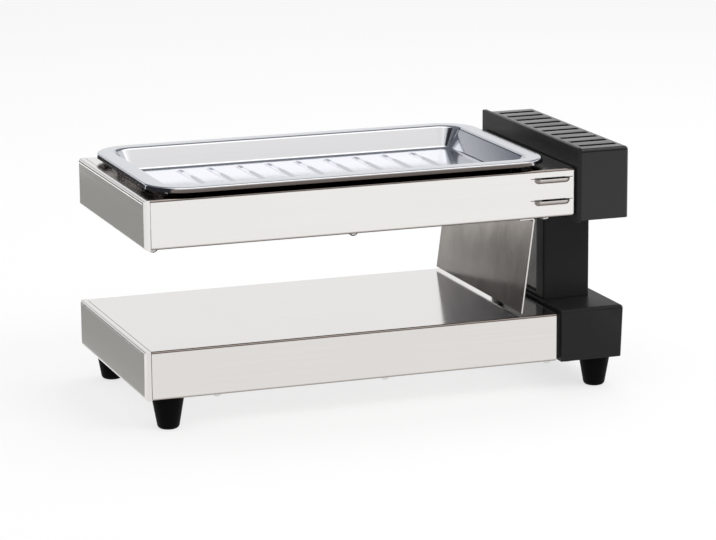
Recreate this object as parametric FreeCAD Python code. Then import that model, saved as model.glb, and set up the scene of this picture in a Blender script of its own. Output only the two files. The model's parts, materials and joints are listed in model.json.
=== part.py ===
"""Raclette grill: a C-shaped stainless frame with a heated head above a base plate, a dish that
hangs in the head's deck, and a black moulded back end that hides the wiring.

Frame: +X runs along the length to the moulded end, +Y to the back, +Z up. The origin is on the
table, under the middle of the whole appliance. All sizes are in millimetres.
"""
import FreeCAD
import Part
import math
import os

V = FreeCAD.Vector

# Dish, whose length and width set those of the steel boxes
tray_length = 309.5
tray_width = 184.0
tray_rise = 7.5                # rim above the deck
tray_depth = 16.2              # rim to floor
tray_rim = 14.0                # width of the rim
tray_wall_run = 10.0           # how far the wall leans inward
tray_floor_corner = 6.0
tray_lip = 2.0                 # turned-down outer edge
tray_lip_bend = 0.5
tray_top_bend = 2.5
tray_floor_bend = 4.0
tray_floor_edge = 4.5          # the wall's sheet runs this far into the floor
tray_sheet = 1.0
groove_count = 9
groove_pitch = 23.6
groove_width = 8.0             # at the floor's surface
groove_bottom = 4.6            # width of a groove's flat bottom
groove_depth = 1.2
groove_end = 6.0               # plain floor between a groove and the wall
groove_offset = 2.6            # middle groove to the right of the dish's middle
opening_gap = 3.0              # dish to the edge of the deck's opening

# Steel boxes of the base and the head
sheet = 1.0                    # stainless sheet
bend = 0.8                     # inside radius of a fold
tray_overhang = 2.0            # dish beyond the steel, front and back
deck_left = 7.95               # left end of the head to the dish
deck_right = 15.85             # dish to the right end of the head's steel
shell_height = 36.4            # height of the base box and of the head box
head_setback = 1.7             # the head starts this far right of the base
head_overhang = 13.5           # the head's steel ends this far right of the base's
working_height = 74.3          # clear height between base and head, where the pans stand
return_width = 26.0            # inward fold along the bottom of each skirt
end_cap_return = 5.0           # how far an end cap reaches round the box
end_cap_round = 3.0            # outer corner radius
seam_gap = 0.4                 # open seam between an end cap and its box

# Feet
foot_height = 24.6
foot_top_radius = 12.1
foot_tip_radius = 8.4
foot_tip_bevel = 1.6
foot_inset_x = 20.6            # left end of the base to the left feet
foot_inset_y = 13.4            # front or back face to the feet
right_foot_inset = 18.0        # right end of the lower housing to the right feet
foot_bore_depth = 9.0

# Black mouldings
moulding_wall = 2.5
moulding_round = 3.0           # outer corner radius
moulding_overhang = 1.4        # mouldings stand proud of the steel, front and back
housing_gap = 3.6              # shadow gap between the base's steel and the lower housing
housing_length = 51.6
housing_rise = 2.7             # above the base's top
housing_drop = 0.8             # below the base's bottom
housing_draft = 1.6            # how far the lower housing's right face leans in at its foot
sleeve_length = 12.4           # part of a moulding that plugs into a steel box
sleeve_wall = 2.0
tongue_length = 26.0           # strips of the flange that the head's last screws hold
tongue_width = 14.0
flange_gap = 1.4               # shadow gap between the head's steel and the flange
flange_thickness = 3.0
flange_side_lip = 2.5          # flange beyond the cap, front and back
flange_top_lip = 1.3
flange_toe = 1.0               # flange below the cap
flange_round = 1.5
snap_length = 6.0              # hooks of the flange that hold the cap
cap_length = 39.9
cap_rise = 13.8                # above the head's deck
cap_drop = 4.1                 # below the head
cap_groove_count = 10
cap_groove_pitch = 17.2
cap_groove_width = 6.0
cap_groove_depth = 2.2
cap_groove_end = 5.0           # plain strip at each end of the grooves
column_inset = 1.9             # column behind the lower housing's left face
column_length = 37.8
column_depth = 105.2
column_round = 2.0
column_lip = 14.6              # black strip beside the post on the column's left face
cover_thickness = 1.6          # lid under the lower housing

# Heat shield, and the steel post inside the column
shield_setback = 26.5          # shield's bottom edge to the right end of the base's steel
shield_lean = 7.7              # degrees, top towards the column
shield_width = 174.0
shield_clearance = 2.0         # above the base
shield_flange = 12.0
shield_screw_spacing = 150.0
post_sheet = 1.2
post_cheek = 22.0              # length of the post's two side walls
post_foot = 19.0               # folds at the post's ends that its screws hold
post_screw_inset = 4.6         # free end of a fold to its screws
post_screw_spacing = 60.0

# Louvres beside the cap, each a half-open form that bulges out below its mouth
louvre_length = 28.0
louvre_bulge = 3.8
louvre_corner = 3.2            # rounded ends
louvre_heights = (13.3, 29.9)  # mouths, above the head's bottom
louvre_end = 4.0               # right end of the head's steel to a louvre
slit_run = 3.0                 # the cut along a mouth runs past the form
slit_width = 0.5

# Heater
element_radius = 3.3
element_height = 14.7          # tube's middle above the head's bottom
element_runs = 4
element_pitch = 36.0           # between neighbouring runs
element_left = 36.3            # left end of the head to the heater's left bends
element_right = 21.0           # heater's right bend to the bulkhead
element_leg = 12.0             # beyond the bulkhead
pin_radius = 1.6
pin_length = 8.0
window_left = 22.3             # radiant window: left end of the head to its edge
window_right = 21.0            # its right edge to the bulkhead
window_width = 124.0
window_corner = 6.0
support_flange = 9.0
support_web_foot = 6.0         # web left below the tubes
bulkhead_gap = 4.5             # deck's opening to the bulkhead
bulkhead_flange = 8.0
bulkhead_width = 130.0
insulator_radius = 6.0
insulator_flange = 8.0
insulator_length = 9.0
insulator_lip = 2.0
cutout_radius = 8.0
cutout_height = 7.0
cutout_offset = 34.0           # thermal cut-out, from the middle towards the front
cutout_ear = 12.0
cutout_tab = 0.8               # thickness of its two tabs
wire_radius = 1.2
wire_bend = 12.0
wire_spacing = 10.0

# Screws and other fixings
screw_radius = 1.5
screw_head_radius = 3.6
screw_head_height = 2.6
screw_length = 8.0
screw_inset = 5.5              # front or back face to the row of screws
hole_clearance = 0.2
base_screw_left = 55.6         # left end of the base to its first screws
base_screw_right = 5.7         # its last screws to the right end of its steel
head_screw_left = 8.1
head_screw_right = 21.6
foot_screw_radius = 2.0
foot_screw_head_radius = 3.8
foot_screw_head_height = 2.4
foot_screw_length = 22.0
nut_radius = 3.9
nut_height = 3.2
boss_radius = 6.0
cover_screw_inset = 8.0
gland_radius = 6.4
gland_flange_radius = 8.6
gland_flange = 2.0
gland_bore = 3.6
gland_length = 9.0
gland_height = 20.0            # above the lower housing's bottom
block_length = 12.0
block_depth = 34.0
block_height = 13.0
block_well = 2.4               # radius of a wire's entry
block_inset = 3.0              # left face of the block to the wires

# Clearances
slide_fit = 0.3                # mouldings inside steel boxes
tube_fit = 0.3                 # heater tube in its holes
cover_fit = 0.2                # lids and bushes in their openings
overrun = 1.0                  # cutting forms reach this far past a face
tolerance = 1e-4               # two points closer than this are one

# Places worked out from the sizes above
head_length = deck_left + tray_length + deck_right
overall_length = head_setback + head_length + flange_gap + flange_thickness + cap_length
left = -overall_length / 2
half = tray_width / 2 - tray_overhang         # middle to the steel's front or back face
fold = bend + sheet
head_left = left + head_setback
head_right = head_left + head_length
base_right = head_right - head_overhang
base_bottom = foot_height
base_top = base_bottom + shell_height
head_bottom = base_top + working_height
deck = head_bottom + shell_height
plate_z = base_bottom + sheet                 # underside of the base's bottom plate
frame_z = head_bottom + sheet                 # underside of the head's bottom frame
housing_left = base_right + housing_gap
housing_right = housing_left + housing_length
housing_bottom = base_bottom - housing_drop
housing_top = base_top + housing_rise
moulding_half = half + moulding_overhang
flange_left = head_right + flange_gap
cap_left = flange_left + flange_thickness
cap_right = cap_left + cap_length
cap_bottom = head_bottom - cap_drop
cap_top = deck + cap_rise
flange_top = cap_top + flange_top_lip
cap_ceiling = cap_top - cap_groove_depth - moulding_wall
column_left = housing_left + column_inset
column_right = column_left + column_length
column_middle = (column_left + column_right) / 2
column_half = column_depth / 2
post_left = column_left + moulding_wall       # the post's web stands behind the cover's left lips
post_half = column_half - moulding_wall - cover_fit
tongue_right = column_right - moulding_wall - cover_fit
tongue_half = post_half - post_sheet - bend
block_left = tongue_right - block_length
post_foot_right = post_left + post_foot
tray_x = head_left + deck_left + tray_length / 2
rim_z = deck + tray_rise
tray_floor = rim_z - tray_depth
tray_rest = tray_floor - tray_sheet           # underside of the floor, on the cross supports
wall_inset = tray_rim + tray_wall_run         # dish's outline to the foot of its wall
opening_inset = tray_rim + tray_wall_run * tray_rise / tray_depth - tray_sheet - opening_gap
groove_reach = tray_width / 2 - wall_inset - groove_end
groove_middle = tray_x + groove_offset
bulkhead_x = tray_x + tray_length / 2 - opening_inset + bulkhead_gap
element_z = head_bottom + element_height
right_foot_x = housing_right - right_foot_inset
left_foot_x = left + foot_inset_x
foot_y = half - foot_inset_y


def block(x0, x1, y0, y1, z0, z1):
    """A plain block between two corners."""
    return Part.makeBox(x1 - x0, y1 - y0, z1 - z0, V(x0, y0, z0))


def side_block(side, x0, x1, y0, y1, z0, z1):
    """A block at the front (side -1) or the back (side 1), y0 and y1 measured from the middle."""
    return block(x0, x1, min(side * y0, side * y1), max(side * y0, side * y1), z0, z1)


def cylinder(radius, length, start, axis):
    return Part.makeCylinder(radius, length, start, axis)


def prism(corners, direction):
    """A straight-sided solid drawn out from a polygon."""
    return Part.Face(Part.makePolygon(corners + [corners[0]])).extrude(direction)


def corner_arc(before, corner, after, radius):
    """The arc that rounds one corner of a path, with its two tangent points."""
    to_before = (before - corner).normalize()
    to_after = (after - corner).normalize()
    opening = to_before.getAngle(to_after)
    reach = radius / math.tan(opening / 2)
    start = corner + to_before * reach
    end = corner + to_after * reach
    middle = (to_before + to_after).normalize()
    distance = radius / math.sin(opening / 2) - radius
    return start, corner + middle * distance, end


def rounded_path(points, radii, closed=False):
    """Edges along the points, with each corner rounded. radii is one number, or one per corner."""
    count = len(points)
    corners = range(count) if closed else range(1, count - 1)
    arcs = {}
    for order, i in enumerate(corners):
        radius = radii[order] if isinstance(radii, (list, tuple)) else radii
        if radius > 0:
            arcs[i] = corner_arc(points[i - 1], points[i], points[(i + 1) % count], radius)
    edges = []
    for i in range(count if closed else count - 1):
        j = (i + 1) % count
        start = arcs[i][2] if i in arcs else points[i]
        end = arcs[j][0] if j in arcs else points[j]
        if start.distanceToPoint(end) > tolerance:
            edges.append(Part.LineSegment(start, end).toShape())
        if j in arcs:
            edges.append(Part.Arc(*arcs[j]).toShape())
    return edges


def offset_path(points, distance, normal):
    """The same open path moved sideways, with mitred corners."""
    sides = []
    for a, b in zip(points, points[1:]):
        sides.append(normal.cross(b - a).normalize())
    moved = [points[0] + sides[0] * distance]
    for i in range(1, len(points) - 1):
        total = sides[i - 1] + sides[i]
        moved.append(points[i] + total * (distance / (1 + sides[i - 1].dot(sides[i]))))
    moved.append(points[-1] + sides[-1] * distance)
    return moved


def turns_towards(before, corner, after, normal):
    return (corner - before).cross(after - corner).dot(normal) > 0


def strip_face(points, thickness, inside_radii, normal):
    """Section of a folded strip. points follow one side, and the metal lies to the left of the
    path as seen against the normal. Each fold has its inside radius on its own inner side."""
    radii = inside_radii
    if not isinstance(radii, (list, tuple)):
        radii = [radii] * (len(points) - 2)
    near, far = [], []
    for i, radius in enumerate(radii):
        inner = turns_towards(points[i], points[i + 1], points[i + 2], normal)
        near.append(radius + thickness if inner else radius)
        far.append(radius if inner else radius + thickness)
    other = offset_path(points, thickness, normal)
    edges = rounded_path(points, near)
    edges.append(Part.LineSegment(points[-1], other[-1]).toShape())
    edges += rounded_path(other, far)
    edges.append(Part.LineSegment(other[0], points[0]).toShape())
    return Part.Face(Part.Wire(Part.sortEdges(edges)[0]))


def folded(points, thickness, inside_radii, normal, start, length):
    """A folded sheet: the strip's section at start, drawn out along the normal."""
    face = strip_face(points, thickness, inside_radii, normal)
    face.translate(normal * start)
    return face.extrude(normal * length)


def rounded_rectangle(x0, x1, y0, y1, radius, z):
    corners = [V(x0, y0, z), V(x1, y0, z), V(x1, y1, z), V(x0, y1, z)]
    return Part.Wire(rounded_path(corners, radius, closed=True))


def rounded_plate(x0, x1, y0, y1, radius, z0, z1):
    return Part.Face(rounded_rectangle(x0, x1, y0, y1, radius, z0)).extrude(V(0, 0, z1 - z0))


def edges_where(shape, test):
    """Edges whose two end points both pass the test."""
    found = []
    for edge in shape.Edges:
        ends = [vertex.Point for vertex in edge.Vertexes]
        if len(ends) == 2 and all(test(p) for p in ends):
            found.append(edge)
    return found


def near(a, b):
    return abs(a - b) < tolerance


def fused(shapes):
    result = shapes[0].multiFuse(shapes[1:]) if len(shapes) > 1 else shapes[0]
    return result.removeSplitter()


def holes_up(points, radius, z0, z1):
    """Round cutters along Z at the given places."""
    return [cylinder(radius, z1 - z0, V(x, y, z0), V(0, 0, 1)) for x, y in points]


def sheet_holes(points, radius, z):
    """Clearance holes through one sheet whose underside is at z."""
    return holes_up(points, radius + hole_clearance, z - overrun, z + sheet + overrun)


def screw(x, y, z, length, radius, head_radius, head_height):
    """A screw driven upward, its domed head's flat side at z."""
    dome_radius = (head_radius ** 2 + head_height ** 2) / (2 * head_height)
    ball = Part.makeSphere(dome_radius, V(x, y, z - head_height + dome_radius))
    head = cylinder(head_radius, head_height, V(x, y, z), V(0, 0, -1)).common(ball)
    shank = cylinder(radius, length, V(x, y, z), V(0, 0, 1))
    return head.fuse(shank)


def screw_rows(first, last):
    """Three screws along the front and three along the back: first, midway and last."""
    y = half - screw_inset
    return [(x, side * y) for side in (-1, 1) for x in (first, (first + last) / 2, last)]


base_screw_places = screw_rows(left + base_screw_left, base_right - base_screw_right)
head_screw_places = screw_rows(head_left + head_screw_left, head_right - head_screw_right)
left_foot_places = [(left_foot_x, -foot_y), (left_foot_x, foot_y)]
right_foot_places = [(right_foot_x, -foot_y), (right_foot_x, foot_y)]


def steel_box(x0, x1, z0, z1):
    """The long part of a steel box: top, two skirts and the folds under them."""
    path = [V(0, half - return_width, z0), V(0, half, z0), V(0, half, z1),
            V(0, -half, z1), V(0, -half, z0), V(0, -half + return_width, z0)]
    return folded(path, sheet, bend, V(1, 0, 0), x0, x1 - x0)


def end_cap(x0, z0, z1):
    """A shallow pan that closes the left end of a steel box."""
    x1 = x0 + end_cap_return
    body = block(x0, x1 + sheet, -half, half, z0, z1)
    body = body.makeFillet(end_cap_round, edges_where(body, lambda p: near(p.x, x0)))
    open_face = [face for face in body.Faces if near(face.CenterOfMass.x, x1 + sheet)]
    pan = body.makeThickness(open_face, -sheet, tolerance)
    return pan.cut(block(x1, x1 + sheet, -half, half, z0, z1))


def base_shell():
    box = steel_box(left + end_cap_return + seam_gap, base_right, base_bottom, base_top)
    return box.cut(sheet_holes(base_screw_places, screw_radius, base_bottom)
                   + sheet_holes(left_foot_places, foot_screw_radius, base_bottom))


def plate_with_tongue(x0, x1, tongue_end, z):
    """Flat plate inside a steel box, with a tongue that reaches under or over the post."""
    plate = block(x0 + end_cap_round, x1, -half + fold, half - fold, z, z + sheet)
    tongue = block(x1 - overrun, tongue_end, -tongue_half, tongue_half, z, z + sheet)
    return fused([plate, tongue]).cut(sheet_holes(post_screw_places(), screw_radius, z))


def base_bottom_plate():
    plate = plate_with_tongue(left, base_right, tongue_right, plate_z)
    return plate.cut(sheet_holes(base_screw_places, screw_radius, plate_z)
                     + sheet_holes(left_foot_places, foot_screw_radius, plate_z))


def foot(x, y):
    """A tapered moulded foot with a bevelled tip and a deep hole for its screw's head."""
    profile = [V(0, 0, 0), V(foot_tip_radius - foot_tip_bevel, 0, 0), V(foot_tip_radius, 0, foot_tip_bevel),
               V(foot_top_radius, 0, foot_height), V(0, 0, foot_height)]
    face = Part.Face(Part.makePolygon(profile + [profile[0]]))
    body = face.revolve(V(0, 0, 0), V(0, 0, 1), 360)
    well = cylinder(foot_screw_head_radius + hole_clearance, foot_bore_depth, V(0, 0, 0), V(0, 0, 1))
    shaft = cylinder(foot_screw_radius + hole_clearance, foot_height, V(0, 0, 0), V(0, 0, 1))
    body = body.cut([well, shaft])
    body.translate(V(x, y, 0))
    return body


def foot_screws():
    return [screw(x, y, foot_bore_depth, foot_screw_length, foot_screw_radius, foot_screw_head_radius,
                  foot_screw_head_height) for x, y in left_foot_places + right_foot_places]


def foot_nuts():
    """Hexagon nuts above the base's bottom plate, on the left feet's screws."""
    z = plate_z + sheet
    turns = [math.radians(angle) for angle in range(0, 360, 60)]
    nuts = []
    for x, y in left_foot_places:
        corners = [V(x + nut_radius * math.cos(turn), y + nut_radius * math.sin(turn), z) for turn in turns]
        bore = cylinder(foot_screw_radius, nut_height, V(x, y, z), V(0, 0, 1))
        nuts.append(prism(corners, V(0, 0, nut_height)).cut(bore))
    return nuts


def screws_at(places, z):
    return [screw(x, y, z, screw_length, screw_radius, screw_head_radius, screw_head_height)
            for x, y in places]


def cover_screw_places():
    x = housing_left + cover_screw_inset
    y = moulding_half - cover_screw_inset
    return [(x, -y), (x, y)]


def column_hole(z0, z1):
    """The column's inside, carried through the mouldings above and below it."""
    y = column_half - moulding_wall
    return block(post_left, column_right - moulding_wall, -y, y, z0, z1)


def tongue_hole(z):
    """Slot in a moulding's left wall for a plate's tongue at height z."""
    y = tongue_half + cover_fit
    return block(base_right - fold, tongue_right, -y, y, z - cover_fit, z + sheet + cover_fit)


def rounded_moulding(body):
    """The outer form of a black moulding with its edges rounded, save those of its left face and
    its bottom."""
    box = body.BoundBox
    return body.makeFillet(moulding_round, [
        edge for edge in body.Edges
        if not all(near(v.Z, box.ZMin) for v in edge.Vertexes)
        and not all(near(v.X, box.XMin) for v in edge.Vertexes)])


def housing_face(z):
    """The lower housing's leaning right face at a height."""
    return housing_right - housing_draft * (housing_top - z) / (housing_top - housing_bottom)


def drafted_block(inset, z0, z1):
    """Outer form of the lower housing, or with an inset the room inside its walls."""
    y = moulding_half - inset
    corners = [V(housing_left + inset, -y, z0), V(housing_face(z0) - inset, -y, z0),
               V(housing_face(z1) - inset, -y, z1), V(housing_left + inset, -y, z1)]
    return prism(corners, V(0, 2 * y, 0))


def sleeve(x0, x1, z0, z1):
    """Rectangular sleeve that plugs into the open end of a steel box."""
    y = half - sheet - slide_fit
    outer = block(x0, x1, -y, y, z0, z1)
    inner = block(x0 - overrun, x1 + overrun, -y + sleeve_wall, y - sleeve_wall, z0 + sleeve_wall,
                  z1 - sleeve_wall)
    return outer, inner


def lower_housing():
    """Moulding at the foot of the column: it plugs into the base and carries two of the feet."""
    body = rounded_moulding(drafted_block(0, housing_bottom, housing_top))
    room = drafted_block(moulding_wall, housing_bottom - overrun, housing_top - moulding_wall)
    plug, bore = sleeve(base_right - sleeve_length, housing_left + overrun, plate_z + sheet,
                        base_top - sheet - slide_fit)
    mouth = bore.copy()
    mouth.translate(V(sleeve_length + housing_gap, 0, 0))
    body = body.cut([room, mouth])
    bosses = holes_up(right_foot_places + cover_screw_places(), boss_radius,
                      housing_bottom + cover_thickness, housing_top - overrun)
    body = fused([body, plug.cut(bore)] + bosses)
    cutters = holes_up(right_foot_places, foot_screw_radius, housing_bottom,
                       foot_bore_depth + foot_screw_length + overrun)
    cutters += holes_up(cover_screw_places(), screw_radius, housing_bottom,
                        housing_bottom + screw_length + overrun)
    cutters += holes_up([place for place in base_screw_places if place[0] > base_right - sleeve_length],
                        screw_radius, base_bottom, base_bottom + screw_length + overrun)
    cutters.append(column_hole(housing_top - 2 * moulding_wall, housing_top + overrun))
    cutters.append(tongue_hole(plate_z))
    cutters.append(cylinder(gland_radius + cover_fit, 2 * moulding_wall,
                            V(column_middle, moulding_half + overrun, housing_bottom + gland_height),
                            V(0, -1, 0)))
    return body.cut(cutters)


def lower_cover():
    """Lid under the lower housing, with a shallow seat for each foot."""
    gap = moulding_wall + cover_fit
    lid = block(housing_left + gap, housing_face(housing_bottom) - gap, -moulding_half + gap,
                moulding_half - gap, housing_bottom, housing_bottom + cover_thickness)
    cutters = holes_up(right_foot_places, foot_top_radius + cover_fit, housing_bottom - overrun, foot_height)
    cutters += holes_up(right_foot_places, foot_screw_radius + hole_clearance, 0, base_top)
    cutters += holes_up(cover_screw_places(), screw_radius + hole_clearance, 0, base_top)
    return lid.cut(cutters)


def column_cover():
    """Moulding round the post: its left face is open between two lips, and its top is stepped to
    meet the head, the flange and the cap."""
    top = frame_z + overrun
    body = rounded_plate(column_left, column_right, -column_half, column_half, column_round,
                         housing_top, frame_z)
    y = column_half - column_lip
    sill = housing_top + moulding_wall
    window = block(column_left - overrun, post_left + overrun, -y, y, sill, top)
    under_flange = block(head_right + slide_fit, cap_left + cover_fit, -half, half,
                         cap_bottom - flange_toe, top)
    under_cap = block(cap_left + cover_fit, column_right + overrun, -half, half, cap_bottom, top)
    return body.cut([column_hole(base_top, top), window, under_flange, under_cap])


def shield_x(z):
    """Back of the leaning shield at a height, where it faces the column."""
    rise = z - base_top - shield_clearance
    return base_right - shield_setback + rise * math.tan(math.radians(shield_lean))


def shield_screw_places():
    x = shield_x(head_bottom) - shield_flange / 2
    return [(x, side * shield_screw_spacing / 2) for side in (-1, 1)]


def heat_shield():
    """Leaning plate with a fold along its top that is screwed under the head."""
    z0 = base_top + shield_clearance
    path = [V(shield_x(z0), 0, z0), V(shield_x(head_bottom), 0, head_bottom),
            V(shield_x(head_bottom) - shield_flange, 0, head_bottom)]
    plate = folded(path, sheet, bend, V(0, -1, 0), -shield_width / 2, shield_width)
    level = block(left, cap_right, -half, half, z0 - fold, z0)
    return plate.cut([level] + sheet_holes(shield_screw_places(), screw_radius, head_bottom - sheet))


def post_screw_places():
    x = post_foot_right - post_screw_inset
    return [(x, side * post_screw_spacing / 2) for side in (-1, 1)]


def column_post():
    """Folded steel channel that carries the head: a web that shows in the column's window, two
    cheeks, and a fold at each end."""
    z0 = plate_z + sheet
    y = post_half
    path = [V(post_left + post_cheek, y, z0), V(post_left, y, z0), V(post_left, -y, z0),
            V(post_left + post_cheek, -y, z0)]
    channel = folded(path, post_sheet, bend, V(0, 0, 1), 0, frame_z - z0)
    y = tongue_half - cover_fit
    path = [V(post_foot_right, 0, z0), V(post_left, 0, z0), V(post_left, 0, frame_z),
            V(post_foot_right, 0, frame_z)]
    ends = folded(path, post_sheet, bend, V(0, 1, 0), -y, 2 * y)
    corner = post_sheet + bend
    corners = [block(post_left - overrun, post_left + corner, -y, y, z - overrun, z + corner + overrun)
               for z in (z0, frame_z - corner)]
    body = fused([channel.cut(corners), ends])
    return body.cut(holes_up(post_screw_places(), screw_radius + hole_clearance, z0 - overrun,
                             frame_z + overrun))


def post_screws():
    """Four short screws driven down, two into the base's tongue and two through the head's."""
    shapes = []
    for x, y in post_screw_places():
        for z in (plate_z + sheet + post_sheet, frame_z + sheet):
            body = screw(x, y, 0, post_sheet + sheet, screw_radius, screw_head_radius, screw_head_height)
            body = body.mirror(V(0, 0, 0), V(0, 0, 1))
            body.translate(V(0, 0, z))
            shapes.append(body)
    return shapes


def louvre_form(side, mouth_z, trim):
    """Quarter-round form below a louvre's mouth, smaller all round by the trim."""
    x0 = head_right - louvre_end - louvre_length + trim
    x1 = head_right - louvre_end - trim
    y0 = side * half
    y1 = side * (half + louvre_bulge - trim)
    start, end = V(x0, y0, mouth_z), V(x1, y0, mouth_z)
    edges = rounded_path([start, V(x0, y1, mouth_z), V(x1, y1, mouth_z), end], louvre_corner - trim)
    edges.append(Part.LineSegment(end, start).toShape())
    return Part.Face(Part.Wire(edges)).revolve(start, V(-side, 0, 0), 90)


def louvred(box, side, mouth_z):
    """The head's box with one pressed louvre: a bulged skin, the room behind it and the cut along
    its mouth."""
    x0 = head_right - louvre_end - louvre_length
    x1 = head_right - louvre_end
    inside = half - sheet - slide_fit
    opening = side_block(side, x0 + sheet, x1 - sheet, inside, half + slide_fit,
                         mouth_z - louvre_bulge + sheet, mouth_z)
    slit = side_block(side, x0 - slit_run, x1 + slit_run, inside, half + overrun, mouth_z,
                      mouth_z + slit_width)
    return box.fuse(louvre_form(side, mouth_z, 0)).cut([louvre_form(side, mouth_z, sheet), opening, slit])


def deck_opening():
    radius = tray_floor_corner + wall_inset - opening_inset
    x = tray_length / 2 - opening_inset
    y = tray_width / 2 - opening_inset
    return rounded_plate(tray_x - x, tray_x + x, -y, y, radius, deck - sheet - overrun, deck + overrun)


def head_shell():
    """Steel box of the head, with the dish's opening in its deck and louvres near its right end."""
    box = steel_box(head_left + end_cap_return + seam_gap, head_right, head_bottom, deck)
    box = box.cut([deck_opening()] + sheet_holes(head_screw_places + shield_screw_places(), screw_radius,
                                                 head_bottom))
    for side in (-1, 1):
        for height in louvre_heights:
            box = louvred(box, side, head_bottom + height)
    return box


def head_bottom_frame():
    """Flat frame on the head's bottom folds, open below the heater, with a tongue on the post."""
    frame = plate_with_tongue(head_left, head_right, post_foot_right, frame_z)
    window = rounded_plate(head_left + window_left, bulkhead_x - window_right, -window_width / 2,
                           window_width / 2, window_corner, frame_z - overrun, frame_z + sheet + overrun)
    return frame.cut([window] + sheet_holes(head_screw_places + shield_screw_places(), screw_radius,
                                            frame_z))


def element_rows():
    """Y of the heater's straight runs, front to back."""
    return [element_pitch * (k - (element_runs - 1) / 2) for k in range(element_runs)]


def support_positions():
    """Left side of each cross support's web, with its flange midway between two grooves."""
    lands = {"left": -3.5, "middle": 0.5, "right": 3.5}
    return {name: groove_middle + groove_pitch * k - support_flange / 2 for name, k in lands.items()}


def cross_support(x):
    """Folded strip across the head: the dish's floor rests on it, and the heater hangs through it."""
    z0 = frame_z + sheet
    y = half - sheet - cover_fit
    path = [V(x + support_flange, 0, z0), V(x, 0, z0), V(x, 0, tray_rest),
            V(x + support_flange, 0, tray_rest)]
    strip = folded(path, sheet, bend, V(0, 1, 0), -y, 2 * y)
    foot_gap = block(x - overrun, x + support_flange + overrun, -window_width / 2, window_width / 2,
                     z0 - overrun, element_z - element_radius - support_web_foot)
    holes = [cylinder(element_radius + tube_fit, support_flange, V(x - overrun, row, element_z), V(1, 0, 0))
             for row in element_rows()]
    return strip.cut([foot_gap] + holes)


def heating_element():
    """One bent tube in four runs, with a thin pin at each end."""
    rows = element_rows()
    x0 = head_left + element_left
    x1 = bulkhead_x - element_right
    x2 = bulkhead_x + sheet + element_leg
    points = [V(x2, rows[0], element_z), V(x0, rows[0], element_z), V(x0, rows[1], element_z),
              V(x1, rows[1], element_z), V(x1, rows[2], element_z), V(x0, rows[2], element_z),
              V(x0, rows[3], element_z), V(x2, rows[3], element_z)]
    spine = Part.Wire(rounded_path(points, element_pitch / 2))
    section = Part.Wire(Part.Circle(V(x2, rows[0], element_z), V(1, 0, 0), element_radius).toShape())
    tube = spine.makePipeShell([section], True, False)
    pins = [cylinder(pin_radius, pin_length + overrun, V(x2 - overrun, row, element_z), V(1, 0, 0))
            for row in (rows[0], rows[-1])]
    return tube.fuse(pins)


def head_bulkhead():
    """Folded wall between the heater and the wiring."""
    z0 = frame_z + sheet
    z1 = deck - sheet
    y = bulkhead_width / 2
    path = [V(bulkhead_x + bulkhead_flange, 0, z0), V(bulkhead_x, 0, z0), V(bulkhead_x, 0, z1),
            V(bulkhead_x + bulkhead_flange, 0, z1)]
    wall = folded(path, sheet, bend, V(0, 1, 0), -y, 2 * y)
    ends = [side_block(side, bulkhead_x, bulkhead_x + sheet, y, half - sheet - cover_fit,
                       z0 + sleeve_wall + slide_fit, z1 - slide_fit) for side in (-1, 1)]
    rows = element_rows()
    holes = [cylinder(insulator_radius + cover_fit, insulator_length,
                      V(bulkhead_x - overrun, row, element_z), V(1, 0, 0)) for row in (rows[0], rows[-1])]
    return fused([wall] + ends).cut(holes)


def insulators():
    """Ceramic bushes that carry the heater's legs through the bulkhead."""
    bushes = []
    rows = element_rows()
    for row in (rows[0], rows[-1]):
        start = V(bulkhead_x - insulator_lip, row, element_z)
        lip = cylinder(insulator_flange, insulator_lip, start, V(1, 0, 0))
        body = cylinder(insulator_radius, insulator_length, start, V(1, 0, 0))
        bore = cylinder(element_radius, insulator_length, start, V(1, 0, 0))
        bushes.append(lip.fuse(body).cut(bore))
    return bushes


def thermal_cutout():
    """Button-shaped safety switch on the bulkhead, with two ears."""
    x = bulkhead_x + sheet
    base = cylinder(cutout_radius, cutout_height, V(x, -cutout_offset, element_z), V(1, 0, 0))
    ears = block(x, x + sheet, -cutout_offset - cutout_ear, -cutout_offset + cutout_ear,
                 element_z - cutout_radius / 2, element_z + cutout_radius / 2)
    tabs = [block(x + cutout_height - overrun, x + cutout_height + pin_length, y - cutout_tab / 2,
                  y + cutout_tab / 2, element_z - pin_radius, element_z + pin_radius)
            for y in (-cutout_offset - cutout_radius / 2, -cutout_offset + cutout_radius / 2)]
    return fused([base, ears] + tabs)


def cap_flange():
    """Flat black collar between head and cap, with a sleeve and two tongues inside the head."""
    y = moulding_half + flange_side_lip
    plate = block(flange_left, cap_left, -y, y, cap_bottom - flange_toe, flange_top)
    corners = [edge for edge in plate.Edges if not near(edge.Vertexes[0].X, edge.Vertexes[-1].X)]
    plate = plate.makeFillet(flange_round, corners)
    floor = frame_z + sheet
    plug, bore = sleeve(head_right - sleeve_length, flange_left + overrun, floor, deck - sheet - slide_fit)
    window = bore.copy()
    window.translate(V(sleeve_length + flange_gap, 0, 0))
    side_y = half - sheet - slide_fit
    tongues = [side_block(side, head_right - tongue_length, head_right - sleeve_length + overrun,
                          side_y - tongue_width, side_y, floor, floor + sleeve_wall) for side in (-1, 1)]
    snaps = [block(cap_left - overrun, cap_left + snap_length, y - tongue_width / 2, y + tongue_width / 2,
                   cap_ceiling - sleeve_wall, cap_ceiling) for y in (-half / 2, half / 2)]
    body = fused([plate.cut(window), plug.cut(bore)] + tongues + snaps)
    held = [place for place in head_screw_places if place[0] > head_right - tongue_length]
    return body.cut([tongue_hole(frame_z), column_hole(cap_bottom - 2 * flange_toe, frame_z + sheet)]
                    + holes_up(held, screw_radius, head_bottom, head_bottom + screw_length + overrun))


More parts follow.
